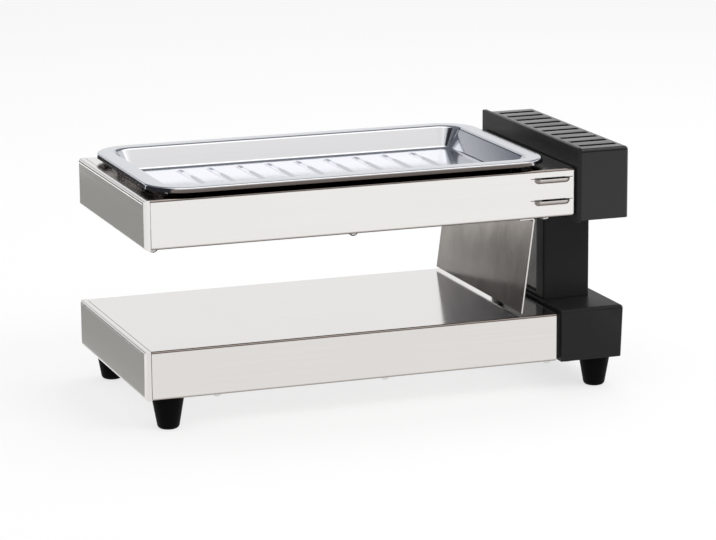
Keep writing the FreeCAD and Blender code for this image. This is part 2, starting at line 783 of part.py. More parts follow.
def cap_housing():
    """Black cover over the top of the column, with rows of grooves across its top."""
    y = moulding_half - moulding_wall
    room = block(cap_left - overrun, cap_right - moulding_wall, -y, y, cap_bottom + moulding_wall,
                 cap_ceiling)
    body = rounded_moulding(block(cap_left, cap_right, -moulding_half, moulding_half, cap_bottom, cap_top))
    cutters = [room, column_hole(cap_bottom - overrun, cap_bottom + moulding_wall + overrun)]
    first = -cap_groove_pitch * (cap_groove_count - 1) / 2
    for k in range(cap_groove_count):
        y = first + k * cap_groove_pitch
        cutters.append(block(cap_left + cap_groove_end, cap_right - cap_groove_end, y - cap_groove_width / 2,
                             y + cap_groove_width / 2, cap_top - cap_groove_depth, cap_top + overrun))
    return body.cut(cutters)


def cord_gland():
    """Rubber bush for the mains lead, in the back of the lower housing."""
    z = housing_bottom + gland_height
    outside = moulding_half + gland_flange
    lip = cylinder(gland_flange_radius, gland_flange, V(column_middle, outside, z), V(0, -1, 0))
    body = cylinder(gland_radius, gland_length, V(column_middle, outside, z), V(0, -1, 0))
    bore = cylinder(gland_bore, gland_length, V(column_middle, outside, z), V(0, -1, 0))
    return lip.fuse(body).cut(bore)


def terminal_block():
    """Three-way terminal block on the base plate's tongue."""
    z = plate_z + sheet
    x0 = block_left
    body = block(x0, x0 + block_length, -block_depth / 2, block_depth / 2, z, z + block_height)
    wells = []
    for k in (-1, 0, 1):
        wells.append(cylinder(block_well, block_height / 2,
                              V(x0 + block_inset, k * wire_spacing, z + block_height), V(0, 0, -1)))
    return body.cut(wells)


def wire(points):
    spine = Part.Wire(rounded_path(points, wire_bend))
    direction = (points[1] - points[0]).normalize()
    section = Part.Wire(Part.Circle(points[0], direction, wire_radius).toShape())
    return spine.makePipeShell([section], True, False)


def wiring():
    """Live, neutral and earth, from the terminal block up the column into the head."""
    x = block_left + block_inset
    z0 = plate_z + sheet + block_height
    pin_end = bulkhead_x + sheet + element_leg + pin_length
    rows = element_rows()
    shapes = {}
    for name, k, row in (("wire_live", -1, rows[0]), ("wire_neutral", 1, rows[-1])):
        y = k * wire_spacing
        shapes[name] = wire([V(x, y, z0), V(x, y, element_z), V(x, row, element_z),
                             V(pin_end, row, element_z)])
    shapes["wire_earth"] = wire([V(x, 0, z0), V(x, 0, element_z), V(bulkhead_x + sheet, 0, element_z)])
    return shapes


def rim_loop():
    """The dish's outline as one closed path that starts in the middle of its front."""
    x, y = tray_length / 2, tray_width / 2
    corner = wall_inset + tray_floor_corner
    points = [V(tray_x, -y, rim_z), V(tray_x + x, -y, rim_z), V(tray_x + x, y, rim_z),
              V(tray_x - x, y, rim_z), V(tray_x - x, -y, rim_z), V(tray_x, -y, rim_z)]
    return Part.Wire(rounded_path(points, corner))


def groove_form(x, z, margin):
    """Shallow tapered form below height z that presses one groove along Y."""
    outlines = []
    for depth, width in ((0, groove_width), (groove_depth, groove_bottom)):
        dx = width / 2 + margin
        dy = groove_reach - (groove_width - width) / 2 + margin
        corners = [V(x - dx, -dy, z - depth), V(x + dx, -dy, z - depth),
                   V(x + dx, dy, z - depth), V(x - dx, dy, z - depth)]
        outlines.append(Part.makePolygon(corners + [corners[0]]))
    return Part.makeLoft(outlines, True, True)


def serving_tray():
    """Pressed dish: its section is drawn round the rim, then the grooved floor closes it."""
    y = -tray_width / 2
    floor_end = wall_inset + tray_floor_edge
    path = [V(tray_x, y, rim_z - tray_lip), V(tray_x, y, rim_z), V(tray_x, y + tray_rim, rim_z),
            V(tray_x, y + wall_inset, tray_floor), V(tray_x, y + floor_end, tray_floor)]
    section = strip_face(path, tray_sheet, [tray_lip_bend, tray_top_bend, tray_floor_bend], V(-1, 0, 0))
    ring = rim_loop().makePipeShell([section.OuterWire], True, False)
    x = tray_length / 2 - floor_end
    floor = rounded_plate(tray_x - x, tray_x + x, y + floor_end, -y - floor_end,
                          tray_floor_corner - tray_floor_edge, tray_rest, tray_floor)
    slope = math.atan2(groove_depth, (groove_width - groove_bottom) / 2)
    margin = tray_sheet * math.tan(slope / 2)
    places = [groove_middle + groove_pitch * (k - (groove_count - 1) / 2) for k in range(groove_count)]
    ridges = [groove_form(place, tray_rest, margin) for place in places]
    troughs = [groove_form(place, tray_floor, 0) for place in places]
    return fused([ring, floor] + ridges).cut(troughs)


def make_parts():
    """Every node's name with its solid, or its list of separate solids."""
    parts = {
        "base_shell": base_shell(),
        "base_end_cap": end_cap(left, base_bottom, base_top),
        "base_bottom_plate": base_bottom_plate(),
        "base_screws": screws_at(base_screw_places, base_bottom),
        "foot_screws": foot_screws(),
        "foot_nuts": foot_nuts(),
        "lower_housing": lower_housing(),
        "lower_cover": lower_cover(),
        "lower_cover_screws": screws_at(cover_screw_places(), housing_bottom),
        "column_cover": column_cover(),
        "column_post": column_post(),
        "post_screws": post_screws(),
        "heat_shield": heat_shield(),
        "shield_screws": screws_at(shield_screw_places(), head_bottom - sheet),
        "head_shell": head_shell(),
        "head_end_cap": end_cap(head_left, head_bottom, deck),
        "head_bottom_frame": head_bottom_frame(),
        "head_screws": screws_at(head_screw_places, head_bottom),
        "head_bulkhead": head_bulkhead(),
        "heating_element": heating_element(),
        "element_insulators": insulators(),
        "thermal_cutout": thermal_cutout(),
        "cap_flange": cap_flange(),
        "cap_housing": cap_housing(),
        "cord_gland": cord_gland(),
        "terminal_block": terminal_block(),
        "serving_tray": serving_tray(),
    }
    for across, x in (("left", left_foot_x), ("right", right_foot_x)):
        parts["foot_front_" + across] = foot(x, -foot_y)
        parts["foot_back_" + across] = foot(x, foot_y)
    for name, x in support_positions().items():
        parts["cross_support_" + name] = cross_support(x)
    parts.update(wiring())
    return parts


def save(name, shapes):
    """Write one node as STEP, and print its size."""
    shape = Part.makeCompound(shapes) if isinstance(shapes, list) else shapes
    shape.exportStep("parts/" + name + ".step")
    box = shape.BoundBox
    print(f"{name:22s} solids {len(shape.Solids)} valid {shape.isValid()} faces {len(shape.Faces)} "
          f"x {box.XMin:.1f}..{box.XMax:.1f} y {box.YMin:.1f}..{box.YMax:.1f} "
          f"z {box.ZMin:.1f}..{box.ZMax:.1f}")


os.makedirs("parts", exist_ok=True)
for name, shapes in make_parts().items():
    save(name, shapes)
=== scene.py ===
# %% [markdown]
# # A two-person raclette grill in steel and black plastic
# The appliance is a letter C lying on its side: a flat steel base on four feet, a steel head that holds the
# heater, and a black column at one end that joins them. A bright dish rests in the head's deck and keeps
# food warm. The construction is already packed as a fixed frame, so this lesson is about finish: light,
# steel and plastic.

# %% Load the frame
import bpy
import bmesh
import json
import math
from mathutils import Matrix, Vector

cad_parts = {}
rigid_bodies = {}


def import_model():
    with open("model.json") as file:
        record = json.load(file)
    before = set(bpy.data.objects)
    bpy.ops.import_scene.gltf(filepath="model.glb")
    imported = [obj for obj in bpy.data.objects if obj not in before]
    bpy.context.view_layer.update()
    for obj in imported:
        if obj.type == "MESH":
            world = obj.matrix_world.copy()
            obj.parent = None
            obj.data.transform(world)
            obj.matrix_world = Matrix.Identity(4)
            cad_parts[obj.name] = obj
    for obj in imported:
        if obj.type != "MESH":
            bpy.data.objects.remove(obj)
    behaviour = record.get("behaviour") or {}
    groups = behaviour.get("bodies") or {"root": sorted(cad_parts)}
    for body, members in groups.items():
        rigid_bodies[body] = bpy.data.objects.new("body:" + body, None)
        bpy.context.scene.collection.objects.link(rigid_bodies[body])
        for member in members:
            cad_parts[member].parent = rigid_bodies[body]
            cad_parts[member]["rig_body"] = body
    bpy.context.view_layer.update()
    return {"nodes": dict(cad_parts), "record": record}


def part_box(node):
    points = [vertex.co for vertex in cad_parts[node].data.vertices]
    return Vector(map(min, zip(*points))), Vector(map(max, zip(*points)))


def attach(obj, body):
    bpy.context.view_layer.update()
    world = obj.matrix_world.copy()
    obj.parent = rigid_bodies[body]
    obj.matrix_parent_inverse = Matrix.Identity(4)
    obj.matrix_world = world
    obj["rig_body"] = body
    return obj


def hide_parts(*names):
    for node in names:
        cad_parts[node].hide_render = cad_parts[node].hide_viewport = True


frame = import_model()
mm = 0.001

# %% [markdown]
# ## Camera
# The photograph was taken with a long lens from the front left, a little above the head. A camera fitted to
# the corners of the boxes and mouldings, the feet and the dish's rim gives its place, heading and focal
# length.

# %% Camera
photo_width = 716
focal_pixels = 3037.8
sensor_width = 36.0
camera_place = Vector((-0.7614, -2.1266, 0.5964))
camera_yaw = math.radians(19.843)
camera_pitch = math.radians(-12.706)
camera_roll = math.radians(0.465)
farthest_seen = 50.0

camera_data = bpy.data.cameras.new("camera")
camera_data.sensor_width = sensor_width
camera_data.lens = focal_pixels / photo_width * sensor_width
camera_data.clip_end = farthest_seen
camera = bpy.data.objects.new("camera", camera_data)
heading = Matrix.Rotation(-camera_yaw, 4, "Z")
tilt = Matrix.Rotation(math.radians(90) + camera_pitch, 4, "X")
roll = Matrix.Rotation(-camera_roll, 4, "Z")
camera.matrix_world = Matrix.Translation(camera_place) @ heading @ tilt @ roll
bpy.context.scene.collection.objects.link(camera)
bpy.context.scene.camera = camera
bpy.context.scene.view_settings.view_transform = "Standard"
print("lens", round(camera_data.lens, 1), "mm")

# %% [markdown]
# ## Shader arithmetic
# A finish is mostly arithmetic on noise. This small class wraps a shader socket, so that `0.2 + 0.1 *
# grain` adds the Math nodes by itself, and `Finish.node` makes every other kind of node in one line.


# %% Socket arithmetic
class Value:
    """A socket's output that adds Math nodes when it is used in an expression."""

    def __init__(self, finish, socket):
        self.finish = finish
        self.socket = socket

    def math(self, operation, *others):
        inputs = dict(enumerate((self, *others)))
        node = self.finish.node("ShaderNodeMath", {"operation": operation}, inputs)
        return Value(self.finish, node.outputs[0])

    def __add__(self, other):
        return self.math("ADD", other)

    def __sub__(self, other):
        return self.math("SUBTRACT", other)

    def __rsub__(self, other):
        return self.math("MULTIPLY", -1.0).math("ADD", other)

    def __mul__(self, other):
        return self.math("MULTIPLY", other)

    def clamped(self, low, high):
        return self.math("MAXIMUM", low).math("MINIMUM", high)

    __radd__ = __add__
    __rmul__ = __mul__


class Finish:
    """One material, made node by node. Patterns read Object coordinates, which are metres here."""

    def __init__(self, name):
        self.material = bpy.data.materials.new(name)
        self.material.use_nodes = True
        self.tree = self.material.node_tree
        self.tree.nodes.clear()
        self.output = self.node("ShaderNodeOutputMaterial")
        self.place = self.out(self.node("ShaderNodeTexCoord"), "Object")

    def node(self, kind, settings=None, inputs=None):
        """A new node: its settings first, then a number or a link for each socket."""
        node = self.tree.nodes.new(kind)
        for key, value in (settings or {}).items():
            setattr(node, key, value)
        for key, value in (inputs or {}).items():
            self.plug(node.inputs[key], value)
        return node

    def plug(self, socket, value):
        if isinstance(value, Value):
            self.tree.links.new(value.socket, socket)
        else:
            socket.default_value = value

    def out(self, node, name=0):
        return Value(self, node.outputs[name])

    def along(self, axis):
        """The place along one axis, in metres."""
        return self.out(self.node("ShaderNodeSeparateXYZ", inputs={"Vector": self.place}), axis)

    def normal(self, axis):
        """The part of the surface's direction that points along one axis."""
        turned = self.out(self.node("ShaderNodeTexCoord"), "Normal")
        return self.out(self.node("ShaderNodeSeparateXYZ", inputs={"Vector": turned}), axis)

    def noise(self, scale, detail=2.0, roughness=0.5):
        """Noise from 0 to 1. scale is cells per metre along X, Y and Z."""
        stretched = self.node("ShaderNodeMapping", inputs={"Vector": self.place, "Scale": scale})
        inputs = {"Vector": self.out(stretched), "Scale": 1.0, "Detail": detail, "Roughness": roughness}
        return self.out(self.node("ShaderNodeTexNoise", inputs=inputs), "Fac")

    def blend(self, factor, low, high):
        """A colour between two others, each a tuple or a link."""
        ends = [colour if isinstance(colour, Value) else (*colour, 1.0) for colour in (low, high)]
        node = self.node("ShaderNodeMix", {"data_type": "RGBA"}, {0: factor, 6: ends[0], 7: ends[1]})
        return self.out(node, 2)

    def bump(self, height, strength, distance):
        inputs = {"Height": height, "Strength": strength, "Distance": distance}
        return self.out(self.node("ShaderNodeBump", inputs=inputs))

    def surface(self, **inputs):
        """Closes the material with a Principled shader. Underscores in names stand for spaces."""
        named = {key.replace("_", " "): value for key, value in inputs.items()}
        shader = self.node("ShaderNodeBsdfPrincipled", inputs=named)
        self.tree.links.new(shader.outputs[0], self.output.inputs["Surface"])
        return self.material


print("shader helpers ready")

# %% [markdown]
# ## Floor and backdrop
# The appliance stands on a white sweep under soft light. The floor glows a little for the camera and for
# reflections, and the rest of its brightness is real light, so the object's shadow stays soft and pale.

# %% Flat boards
white = (1.0, 1.0, 1.0, 1.0)


def board(name, width, length, matrix, material):
    """A flat rectangle for the studio, which is no part of the object."""
    mesh = bpy.data.meshes.new(name)
    shape = bmesh.new()
    bmesh.ops.create_grid(shape, x_segments=1, y_segments=1, size=0.5,
                          matrix=matrix @ Matrix.Diagonal((width, length, 1.0, 1.0)))
    shape.to_mesh(mesh)
    shape.free()
    mesh.materials.append(material)
    thing = bpy.data.objects.new(name, mesh)
    bpy.context.scene.collection.objects.link(thing)
    return thing


# %% Floor
floor_glow = 0.70
floor_colour = 0.32
floor_size = 30.0
bounce_grey = (0.8, 0.8, 0.8, 1.0)

paint = Finish("floor")
rays = paint.node("ShaderNodeLightPath")
seen = paint.out(rays, "Is Camera Ray").math("MAXIMUM", paint.out(rays, "Is Glossy Ray"))
plain = paint.out(paint.node("ShaderNodeBsdfDiffuse", inputs={"Color": bounce_grey}))
dim = paint.out(paint.node("ShaderNodeBsdfDiffuse", inputs={"Color": (floor_colour,) * 3 + (1.0,)}))
glow = paint.out(paint.node("ShaderNodeEmission", inputs={"Color": white, "Strength": floor_glow}))
both = paint.out(paint.node("ShaderNodeAddShader", inputs={0: dim, 1: glow}))
shown = paint.node("ShaderNodeMixShader", inputs={0: seen, 1: plain, 2: both})
paint.tree.links.new(shown.outputs[0], paint.output.inputs["Surface"])
board("floor", floor_size, floor_size, Matrix.Identity(4), paint.material)
print("floor", floor_size, "m wide")

# %% [markdown]
# ## What the steel sees
# Polished steel has no colour of its own to speak of: it shows the room. So the studio is built for
# reflections first. The world is white for the camera and for gloss. Cards that only glossy rays can see
# stand in for the rest of a real studio: a pale backdrop with dark flags before it, a dark one at the left,
# the dim room above, a softbox overhead, and the dim room behind the camera, which draws the dark line
# along every fold. Four more lie on the table, for the faces that mirror the table: grey at the left,
# bright far off, and two that are painted shadow of the grill on the table, pale grey in front and dark
# behind.

# %% World
air_strength = 0.62
world = bpy.data.worlds.new("studio")
world.use_nodes = True
bpy.context.scene.world = world
air = world.node_tree
air_light = air.nodes["Background"]
air_light.inputs["Color"].default_value = white
air_light.inputs["Strength"].default_value = air_strength
ray = air.nodes.new("ShaderNodeLightPath")
backdrop = air.nodes.new("ShaderNodeBackground")
backdrop.inputs["Color"].default_value = white
last = ray.outputs["Is Camera Ray"]
for other in ("Is Glossy Ray", "Is Transmission Ray"):
    either = air.nodes.new("ShaderNodeMath")
    either.operation = "MAXIMUM"
    air.links.new(last, either.inputs[0])
    air.links.new(ray.outputs[other], either.inputs[1])
    last = either.outputs[0]
mixed = air.nodes.new("ShaderNodeMixShader")
air.links.new(last, mixed.inputs[0])
air.links.new(air_light.outputs[0], mixed.inputs[1])
air.links.new(backdrop.outputs[0], mixed.inputs[2])
air.links.new(mixed.outputs[0], air.nodes["World Output"].inputs["Surface"])
print("world", air_strength)


# %% Cards
def card(name, width, length, matrix, low, high):
    """A board that only glossy rays see. Its colour runs from low at its bottom to high at its top."""
    paint = Finish(name)
    share = (paint.along("Y") * (1.0 / length) + 0.5).clamped(0.0, 1.0)
    light = paint.node("ShaderNodeEmission", inputs={"Color": paint.blend(share, low, high)})
    paint.tree.links.new(light.outputs[0], paint.output.inputs["Surface"])
    thing = board(name, width, length, Matrix.Identity(4), paint.material)
    thing.matrix_world = matrix
    thing.visible_camera = False
    thing.visible_diffuse = False
    thing.visible_transmission = False
    thing.visible_shadow = False
    thing.visible_volume_scatter = False


def facing(place, turn, tilt):
    """Where a card stands: its centre, its turn about Z and its tilt up from lying flat, in degrees."""
    return (Matrix.Translation(place) @ Matrix.Rotation(math.radians(turn), 4, "Z")
            @ Matrix.Rotation(math.radians(tilt), 4, "X"))


pale = (0.925, 0.925, 0.93)
navy = (0.008, 0.022, 0.055)
haze = (0.26, 0.27, 0.29)
dark_flag_and_shadow = (0.03, 0.03, 0.035)
dusk = (0.035, 0.031, 0.028)
tan = (0.38, 0.31, 0.265)
soft_front = (0.47, 0.457, 0.44)
soft_back = (2.30, 2.24, 2.15)
gap_near = (0.36, 0.36, 0.345)
gap_far = (0.30, 0.30, 0.29)
bright = (1.9, 1.86, 1.81)
table = (0.90, 0.89, 0.88)
on_table = 0.002
card("backdrop", 14.0, 2.2, facing((0.0, 4.0, 1.1), 0, 90), pale, pale)
card("navy_flag", 1.3, 1.5, facing((-1.15, 3.9, 2.22), 0, 90), navy, navy)
card("navy_edge", 1.3, 0.12, facing((-1.15, 3.9, 1.41), 0, 90), pale, navy)
card("low_flag", 1.7, 0.7, facing((-1.95, 3.95, 0.33), 0, 90), dusk, dusk)
card("back_flag", 14.0, 4.5, facing((0.0, 4.3, 3.2), 0, 90), haze, haze)
card("ceiling_flag", 9.0, 3.4, facing((0.0, 2.5, 3.1), 0, 0), haze, haze)
card("left_flag", 7.5, 4.9, facing((-3.2, 0.5, 2.75), 90, 90), dark_flag_and_shadow, dark_flag_and_shadow)
card("front_flag", 16.0, 2.0, facing((0.7, -2.6, 1.25), 0, 90), dusk, tan)
card("softbox", 2.4, 1.7, facing((0.6, -0.7, 1.8), 0, 0), soft_front, soft_back)
# Painted shadow: a pale grey board in front of the base, seen only in reflections.
card("table_front_shadow", 0.8, 0.36, facing((0.1, -0.30, on_table), 0, 0), table, table)
card("table_left_gap", 0.9, 1.05, facing((-0.66, 0.505, on_table), 0, 0), gap_near, gap_far)
card("table_far", 1.3, 1.0, facing((-0.35, 1.58, on_table), 0, 0), bright, bright)
# Painted shadow: a dark board on the table behind the grill, seen only in reflections.
card("table_back_shadow", 1.4, 0.8, facing((0.62, 0.85, on_table), 0, 0), dark_flag_and_shadow, dark_flag_and_shadow)


# %% Lamps
def lamp(name, place, target, size, power):
    """A soft rectangular lamp that looks at a point, and that gloss doesn't show."""
    data = bpy.data.lights.new(name, "AREA")
    data.shape = "RECTANGLE"
    data.size, data.size_y = size
    data.energy = power
    thing = bpy.data.objects.new(name, data)
    thing.location = place
    thing.rotation_euler = (Vector(target) - Vector(place)).to_track_quat("-Z", "Y").to_euler()
    thing.visible_glossy = False
    bpy.context.scene.collection.objects.link(thing)
    return thing


grill_middle = (0, 0, 0.1)
lamp("key", (0.9, -1.5, 1.7), grill_middle, (1.4, 1.0), 14.0)
lamp("top", (0.6, 0.5, 1.9), grill_middle, (1.4, 1.4), 11.0)

# %% [markdown]
# ## Steel
# Stainless sheet is brushed with a belt that leaves thousands of hair-fine lines. The lines are noise,
# squeezed across the brush direction. They tint the colour and tip the surface a little in a bump, which
# smears every reflection across the lines, and a slow cloud keeps large faces from looking even. At folds,
# louvres and the dish's grooves, where the surface points halfway between two axes, the colour is darkened
# as painted shade. The dish's faces that point down are coloured dark brown as painted shade under the
# dish.


# %% Brushed steel
hair_cells, hair_cells_along = 2600.0, 14.0
streak_cells, streak_cells_along = 700.0, 6.0
cloud_cells = 11.0
roughness_spread = 0.10


def lined(paint, along):
    """Hair lines, wider streaks and a slow cloud for sheet that is brushed along one axis."""
    fine = [hair_cells] * 3
    wide = [streak_cells] * 3
    fine["XYZ".index(along)] = hair_cells_along
    wide["XYZ".index(along)] = streak_cells_along
    hair = paint.noise(fine, detail=3.0)
    streaks = paint.noise(wide, detail=2.0)
    cloud = paint.noise((cloud_cells,) * 3, detail=3.0)
    return hair, streaks, cloud


def brushed(name, colour, along, roughness, depth, streak=0.06, fold_shade=None, turns=(2.0, 2.0, 2.0),
            underside_shade=None):
    """Steel brushed along one axis. Folds can have a darker colour painted as shade, with a strength for
    each
    of the three axes that they turn about: Z, X and Y. What faces down can have a darker colour painted as
    shade."""
    upright, lengthwise, crosswise = turns
    paint = Finish(name)
    hair, streaks, cloud = lined(paint, along)
    darker = [c * (1.0 - 2 * streak) for c in colour]
    tint = paint.blend(streaks * 0.5 + hair * 0.25 + cloud * 0.25, darker, colour)
    # Painted shade: the colour darkens where the surface points between two axes, at folds, louvres and
    # grooves.
    if fold_shade:
        x, y, z = [paint.normal(axis).math("ABSOLUTE") for axis in "XYZ"]
        fold_shade_mask = (x * y * upright + y * z * lengthwise + z * x * crosswise).clamped(0.0, 1.0)
        tint = paint.blend(fold_shade_mask, tint, fold_shade)
    # Painted shade: faces that point down turn a dark brown, the shade under the dish.
    if underside_shade:
        underside_shade_mask = (paint.normal("Z") * -6.0 + (cloud - 0.5)).clamped(0.0, 1.0)
        tint = paint.blend(underside_shade_mask, tint, underside_shade)
    uneven = roughness + roughness_spread * (streaks - 0.5)
    ridges = paint.bump(hair, 0.25, depth)
    return paint.surface(Base_Color=tint, Metallic=1.0, Roughness=uneven, Normal=ridges)


# %% Heat-tinted shield, with painted shade
def heat_tinted_and_shaded(name, dark, light, bare, low, high, roughness):
    """Rolled sheet that heat has darkened in clouds on its left face, with bright metal elsewhere. Its
    colour also darkens towards the bottom and the front as painted shade.
    """
    paint = Finish(name)
    cloud = paint.noise((22.0, 30.0, 22.0), detail=4.0, roughness=0.6)
    speck = paint.noise((300.0, 300.0, 300.0), detail=2.0)
    # Painted shade: the colour darkens towards the bottom and the front of the shield; the clouds are heat
    # tint.
    height = (paint.along("Z") - low.z) * (1.0 / (high.z - low.z))
    depth = (paint.along("Y") - low.y) * (1.0 / (high.y - low.y))
    blotches = (cloud - 0.5) * 0.7 + (speck - 0.5) * 0.2
    heat_tint_and_shade = (height * 0.45 + depth * 0.75 + blotches - 0.05).clamped(0.0, 1.0)
    clean = (paint.normal("X") * 2.0 + 0.8).clamped(0.0, 1.0)
    tint = paint.blend(clean, paint.blend(heat_tint_and_shade, dark, light), bare)
    uneven = roughness + roughness_spread * (cloud - 0.5)
    ridges = paint.bump(speck, 0.2, 0.00005)
    return paint.surface(Base_Color=tint, Metallic=1.0, Roughness=uneven, Normal=ridges)


# %% [markdown]
# ## Plastic, a black post and the rest
# The mouldings have an even matt grain, which goes into the bump and the roughness, and the colour hardly
# changes. Little of the light comes back straight on, but at a shallow angle the plastic turns pale, as the
# ribbed top of the end cap shows. The same few nodes, with a finer or a coarser grain and more or less
# gloss, give the feet, the ceramic bushes, the wires' sleeves and the column's steel post, whose black is
# painted shade for the dark opening beside the column.


# %% Moulded plastic
def moulded(name, colour, roughness, grain, gloss=0.5):
    """A plain colour with a fine grain. grain is cells per metre."""
    paint = Finish(name)
    pits = paint.noise((grain, grain, grain), detail=2.0)
    cloud = paint.noise((14.0, 14.0, 14.0), detail=3.0)
    tint = paint.blend(cloud, [c * 0.85 for c in colour], [c * 1.15 for c in colour])
    inputs = {"Roughness": roughness + 0.1 * (pits - 0.5), "Specular_IOR_Level": gloss}
    return paint.surface(Base_Color=tint, Normal=paint.bump(pits, 0.3, 0.00003), **inputs)


# %% Finishes
shield_low, shield_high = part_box("heat_shield")
finishes = {
    # Painted shade darkens the folds and louvres of the brushed shells.
    "brushed_stainless": brushed("brushed stainless", (0.86, 0.845, 0.825), "X", 0.12, 0.00003,
                                 fold_shade=(0.30, 0.26, 0.24)),
    "end_stainless": brushed("end stainless", (0.86, 0.845, 0.825), "Y", 0.17, 0.00003),
    # The shield darkens towards its bottom and front as painted shade.
    "shield_stainless": heat_tinted_and_shaded("shield stainless", (0.07, 0.059, 0.053), (0.37, 0.345, 0.325),
                                    (0.90, 0.88, 0.86), shield_low, shield_high, 0.19),
    "polished_stainless": brushed("polished stainless", (0.67, 0.683, 0.725), "X", 0.12, 0.000012, 0.04,
                                  # Painted shade darkens the dish's groove slopes and side walls.
                                  fold_shade=(0.54, 0.555, 0.60), turns=(0.0, 0.0, 1.9),
                                  # Painted shade, dark brown, on the dish's faces that point down.
                                  underside_shade=(0.05, 0.033, 0.024)),
    "inner_steel": brushed("inner steel", (0.70, 0.70, 0.69), "X", 0.35, 0.00003),
    "black_moulding": moulded("black moulding", (0.0125, 0.0128, 0.0138), 0.24, 1400.0, 0.42),
    "matt_moulding": moulded("matt moulding", (0.024, 0.024, 0.0255), 0.35, 1400.0, 0.07),
    # The column's post is coloured black as painted shade for the dark opening beside the column.
    "post_shade_black": moulded("post shade black", (0.010, 0.010, 0.011), 0.22, 900.0, 0.5),
    "black_foot": moulded("black foot", (0.002, 0.002, 0.0021), 0.5, 1400.0, 0.05),
    "steel_screws": brushed("zinc screws", (0.75, 0.75, 0.74), "X", 0.25, 0.00002),
    "heater_sheath": brushed("heater sheath", (0.22, 0.2, 0.19), "X", 0.5, 0.00003),
    "white_ceramic": moulded("white ceramic", (0.78, 0.77, 0.73), 0.6, 900.0),
    "cutout_body": moulded("cutout body", (0.05, 0.03, 0.02), 0.5, 900.0),
    "white_moulding": moulded("white moulding", (0.75, 0.74, 0.71), 0.45, 900.0),
    "black_rubber": moulded("black rubber", (0.015, 0.015, 0.015), 0.7, 900.0),
    "brown_sleeve": moulded("brown sleeve", (0.10, 0.04, 0.02), 0.55, 900.0),
    "blue_sleeve": moulded("blue sleeve", (0.02, 0.06, 0.3), 0.55, 900.0),
    "green_sleeve": moulded("green sleeve", (0.12, 0.35, 0.05), 0.55, 900.0),
}
slots = {entry["node"]: entry["material_slot"] for entry in frame["record"]["subparts"]}
# The column's post takes the black finish as painted shade.
variants = {"base_end_cap": "end_stainless", "head_end_cap": "end_stainless", "column_post": "post_shade_black",
            "cap_flange": "matt_moulding", "column_cover": "matt_moulding",
            "lower_housing": "matt_moulding", "lower_cover": "matt_moulding"}
for name, thing in frame["nodes"].items():
    thing.data.materials.clear()
    thing.data.materials.append(finishes[variants.get(name, slots[name])])
print("dressed", len(frame["nodes"]), "nodes")

# %% [markdown]
# ## The dish
# The serving dish is pressed from one sheet. Its section, from the turned-down lip over the rim and down
# the wall, is drawn once round a rounded rectangle with extrusions and quarter turns, and its folds are
# rounded afterwards. The floor is a grid whose lines crowd together at the nine grooves. There its points
# sink along a soft step from both sides, so that a groove has a round bottom and no flat.


# %% Helpers for new pieces
weld = 1e-6
smooth_below = math.radians(38)


def finished(name, shape, node):
    """Makes an object of a bmesh, which stands for a CAD node and has its finish and its body."""
    mesh = bpy.data.meshes.new(name)
    shape.to_mesh(mesh)
    shape.free()
    mesh.materials.append(finishes[variants.get(node, slots[node])])
    mesh.shade_smooth()
    mesh.set_sharp_from_angle(angle=smooth_below)
    piece = bpy.data.objects.new(name, mesh)
    bpy.context.scene.collection.objects.link(piece)
    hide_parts(node)
    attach(piece, frame["nodes"][node]["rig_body"])
    return piece


def inset_of(place, half_x, half_y, corner):
    """How far a place lies inside a rounded rectangle round the origin. It is negative outside."""
    x = abs(place.x) - (half_x - corner)
    y = abs(place.y) - (half_y - corner)
    return corner - math.hypot(max(x, 0.0), max(y, 0.0)) - min(max(x, y), 0.0)


def ring_edges(shape, inset, z, outline):
    """The edges that run round the piece at one inset and height."""
    def there(vert):
        return abs(vert.co.z - z) < weld and abs(inset_of(vert.co, *outline) - inset) < 2 * weld

    return [edge for edge in shape.edges if all(there(vert) for vert in edge.verts)]


# %% Dish
dish_low, dish_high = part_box("serving_tray")
dish_middle = (dish_low + dish_high) / 2
dish_half_x = (dish_high.x - dish_low.x) / 2
dish_half_y = (dish_high.y - dish_low.y) / 2
dish_depth = 16.2 * mm
dish_rim = 14 * mm
dish_foot = 24 * mm
dish_corner = 30 * mm
dish_lip = 3.6 * mm
dish_flare = 1.0 * mm
dish_sheet = 1 * mm
groove_count = 9
groove_pitch = 23.6 * mm
groove_half = 4 * mm
groove_depth = 1.2 * mm
groove_slope = 4 * mm
groove_shift = 2.6 * mm
groove_ramp = 11 * mm
step = 0.5 * mm
turn_steps = 24
floor_x = dish_half_x - dish_corner
floor_y = dish_half_y - dish_corner
middles = [groove_shift + groove_pitch * (k - (groove_count - 1) / 2) for k in range(groove_count)]


def crowded(places, reach):
    """Lines every small step, up to a reach on both sides of each place."""
    count = round(reach / step)
    return sorted(place + step * k for place in places for k in range(-count, count + 1))


columns = [-floor_x, *crowded(middles, groove_half + step), floor_x]
rows = [y for y in crowded([-floor_y, floor_y], groove_ramp + step) if abs(y) < floor_y + step / 2]


def gaps(lines):
    return [after - before for before, after in zip(lines, lines[1:])]


